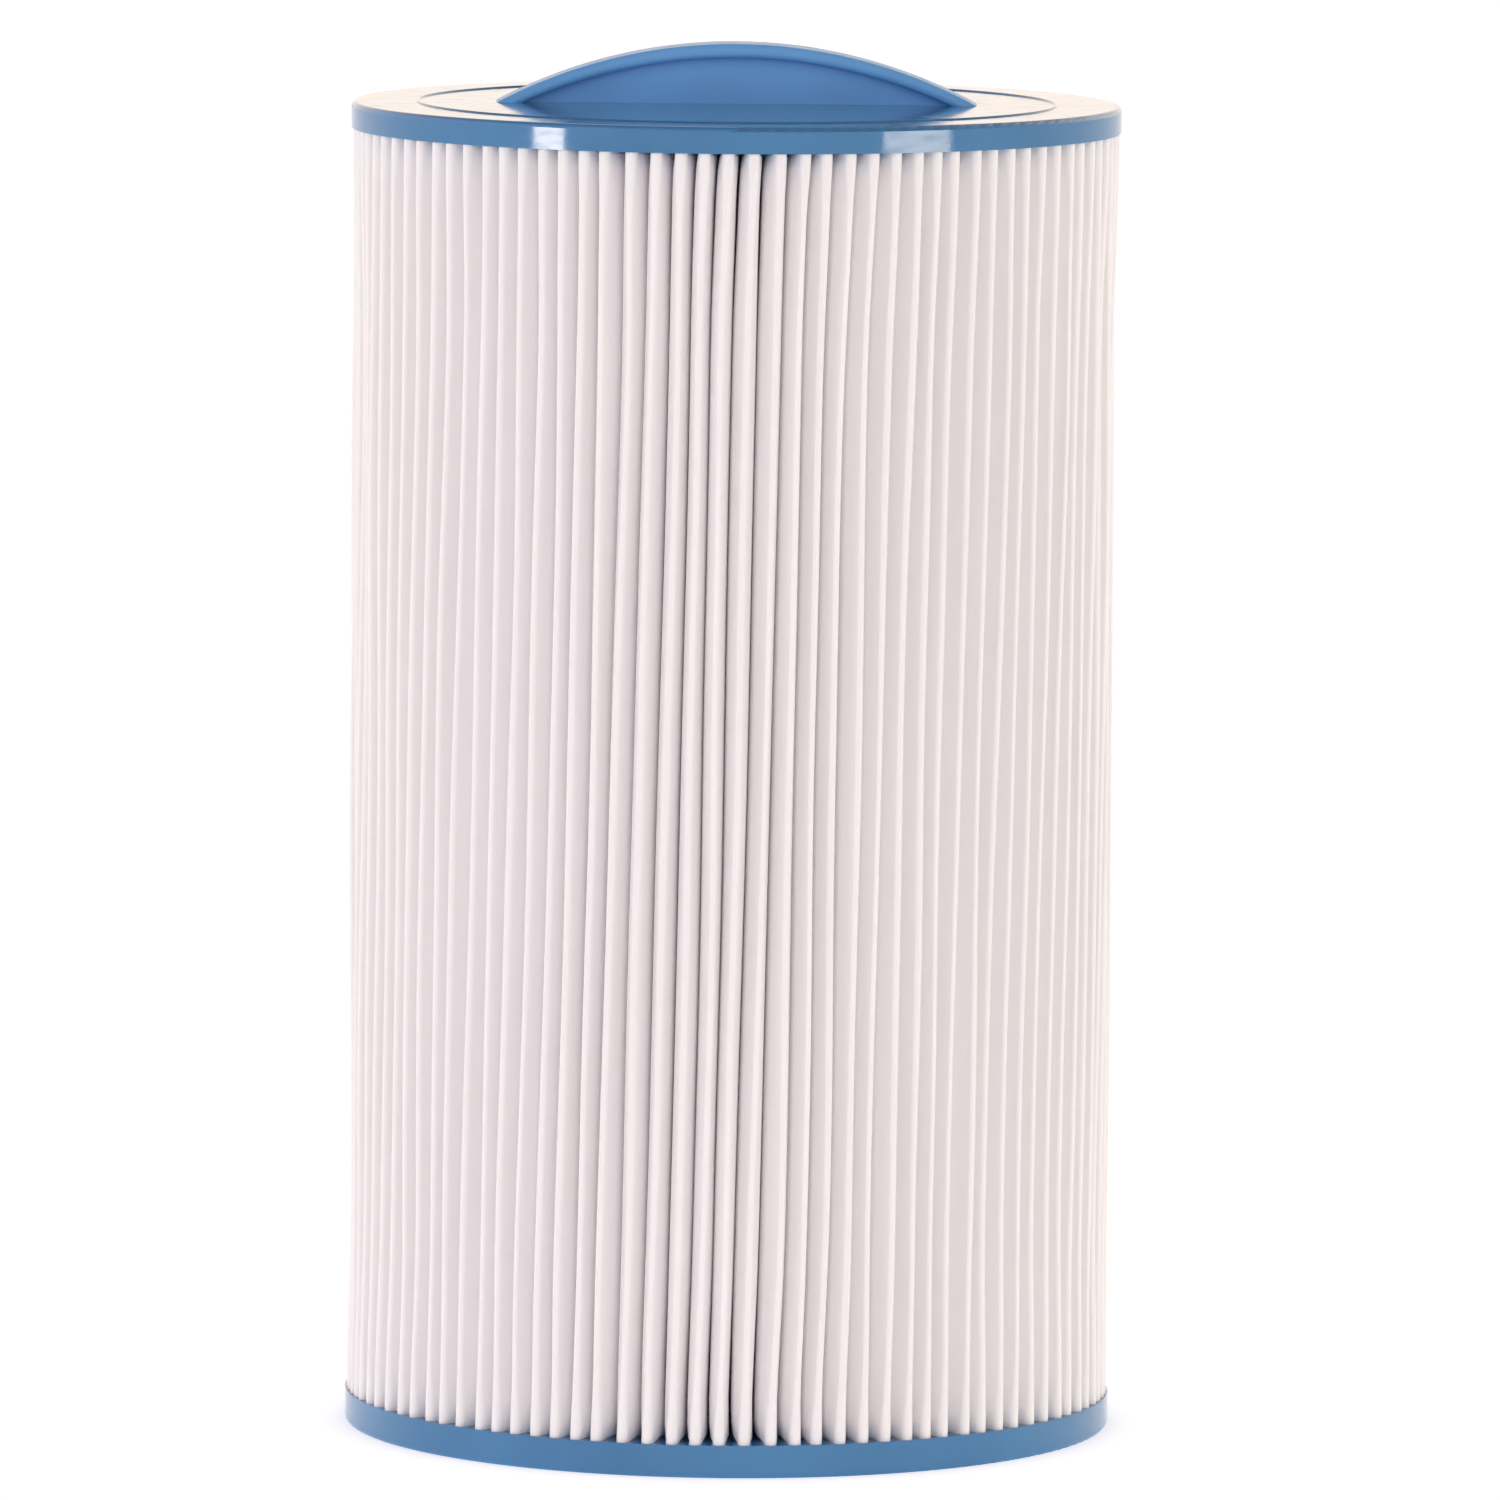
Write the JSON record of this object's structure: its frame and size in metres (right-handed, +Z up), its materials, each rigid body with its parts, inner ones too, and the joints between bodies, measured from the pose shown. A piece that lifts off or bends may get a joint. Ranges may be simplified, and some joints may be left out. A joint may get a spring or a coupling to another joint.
{
  "type": "filter cartridge",
  "caption": "Upright pleated cylinder with moulded end caps, a half-moon lifting handle on the closed top and an open slip-fit bore below; strains spa water through its media.",
  "frame": {"origin": "centre of the lower end cap's flat underside, on the cartridge's axis", "axes": "+Z up the axis from the open lower end to the handle; X along the handle's long side; Y across the handle"},
  "size_m": [0.1508, 0.1508, 0.2722],
  "materials": {
    "cap_urethane": "cast glossy blue urethane, polished by the mould",
    "handle_plastic": "moulded blue plastic, satin",
    "polyester_media": "white spun-bonded polyester, matte, faintly fibrous",
    "seam_adhesive": "cream hot-melt bead",
    "core_plastic": "white moulded plastic"
  },
  "bodies": {
    "root": {"top_end_cap": "cap_urethane", "bottom_end_cap": "cap_urethane", "handle": "handle_plastic", "pleated_media": "polyester_media", "media_seam": "seam_adhesive", "core_lower_section": "core_plastic", "core_upper_section": "core_plastic", "core_plug": "core_plastic"}
  },
  "joints": []
}
